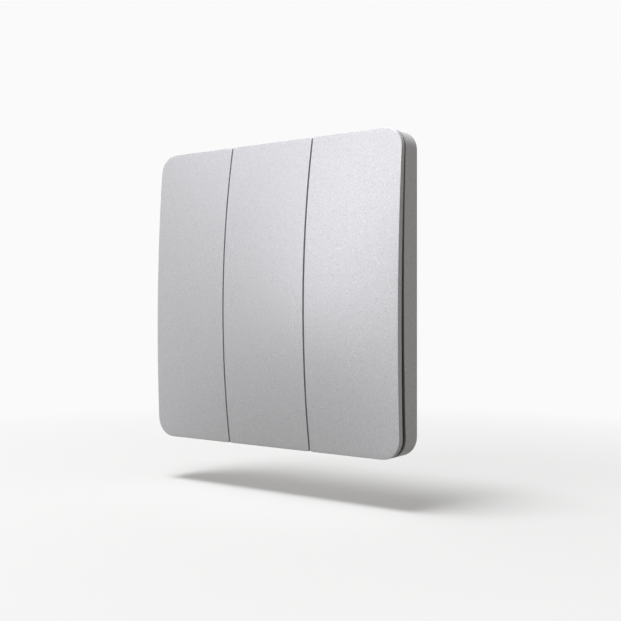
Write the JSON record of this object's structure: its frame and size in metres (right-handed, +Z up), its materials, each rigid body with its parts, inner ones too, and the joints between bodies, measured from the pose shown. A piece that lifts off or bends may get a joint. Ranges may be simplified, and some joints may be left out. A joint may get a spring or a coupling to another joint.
{
  "type": "wireless remote wall switch",
  "caption": "Square wall-mounted battery remote switch with tall tilting keys whose fronts share one softly domed silver surface.",
  "frame": {"origin": "middle of the back face, in the plane of the wall", "axes": "+Z up, +X to the right seen from the front, keys face -Y, +Y into the wall"},
  "size_m": [0.086, 0.0122, 0.086],
  "materials": {
    "silver_paint": "satin metallic paint on moulded plastic",
    "grey_plastic": "moulded, fine texture",
    "dark_plastic": "moulded, fine texture",
    "switch_plastic": "moulded",
    "plunger_plastic": "moulded",
    "foam_tape": "foam tape",
    "board_laminate": "solder mask on glass laminate",
    "tin_plate": "tin-plated sheet",
    "zinc_steel": "zinc-plated",
    "cell_steel": "nickel-plated steel"
  },
  "bodies": {
    "housing": {"wall_plate": "grey_plastic", "adhesive_pad_upper": "foam_tape", "adhesive_pad_lower": "foam_tape", "base_housing": "silver_paint", "inner_frame": "dark_plastic", "frame_screws": "zinc_steel", "circuit_board": "board_laminate", "radio_module": "board_laminate", "radio_shield": "tin_plate", "battery_holder": "dark_plastic", "battery_contact_negative": "tin_plate", "battery_contact_positive": "tin_plate", "coin_cell": "cell_steel", "switch_body_left": "switch_plastic", "switch_cover_left": "tin_plate", "switch_dome_left": "tin_plate", "switch_body_middle": "switch_plastic", "switch_cover_middle": "tin_plate", "switch_dome_middle": "tin_plate", "switch_body_right": "switch_plastic", "switch_cover_right": "tin_plate", "switch_dome_right": "tin_plate"},
    "left_key": {"key_left": "silver_paint"},
    "left_plunger": {"switch_plunger_left": "plunger_plastic"},
    "middle_key": {"key_middle": "silver_paint"},
    "middle_plunger": {"switch_plunger_middle": "plunger_plastic"},
    "right_key": {"key_right": "silver_paint"},
    "right_plunger": {"switch_plunger_right": "plunger_plastic"}
  },
  "joints": [
    {"name": "left_key_press", "type": "hinge", "parent": "housing", "child": "left_key", "pos_m": [-0.0288, -0.0049, 0.0372], "axis": [1, 0, 0], "range_deg": [0, 0.6], "stiffness_Nm_per_rad": 1, "springref_deg": -2.86},
    {"name": "left_plunger_slide", "type": "slide", "parent": "housing", "child": "left_plunger", "axis": [0, 1, 0], "range_m": [0, 0.00055]},
    {"name": "middle_key_press", "type": "hinge", "parent": "housing", "child": "middle_key", "pos_m": [0, -0.0049, 0.0372], "axis": [1, 0, 0], "range_deg": [0, 0.6], "stiffness_Nm_per_rad": 1, "springref_deg": -2.86},
    {"name": "middle_plunger_slide", "type": "slide", "parent": "housing", "child": "middle_plunger", "axis": [0, 1, 0], "range_m": [0, 0.00055]},
    {"name": "right_key_press", "type": "hinge", "parent": "housing", "child": "right_key", "pos_m": [0.0288, -0.0049, 0.0372], "axis": [1, 0, 0], "range_deg": [0, 0.6], "stiffness_Nm_per_rad": 1, "springref_deg": -2.86},
    {"name": "right_plunger_slide", "type": "slide", "parent": "housing", "child": "right_plunger", "axis": [0, 1, 0], "range_m": [0, 0.00055]}
  ],
  "couplings": [
    {"joint": "left_plunger_slide", "follows": "left_key_press", "m_per_rad": 0.0512},
    {"joint": "middle_plunger_slide", "follows": "middle_key_press", "m_per_rad": 0.0512},
    {"joint": "right_plunger_slide", "follows": "right_key_press", "m_per_rad": 0.0512}
  ]
}
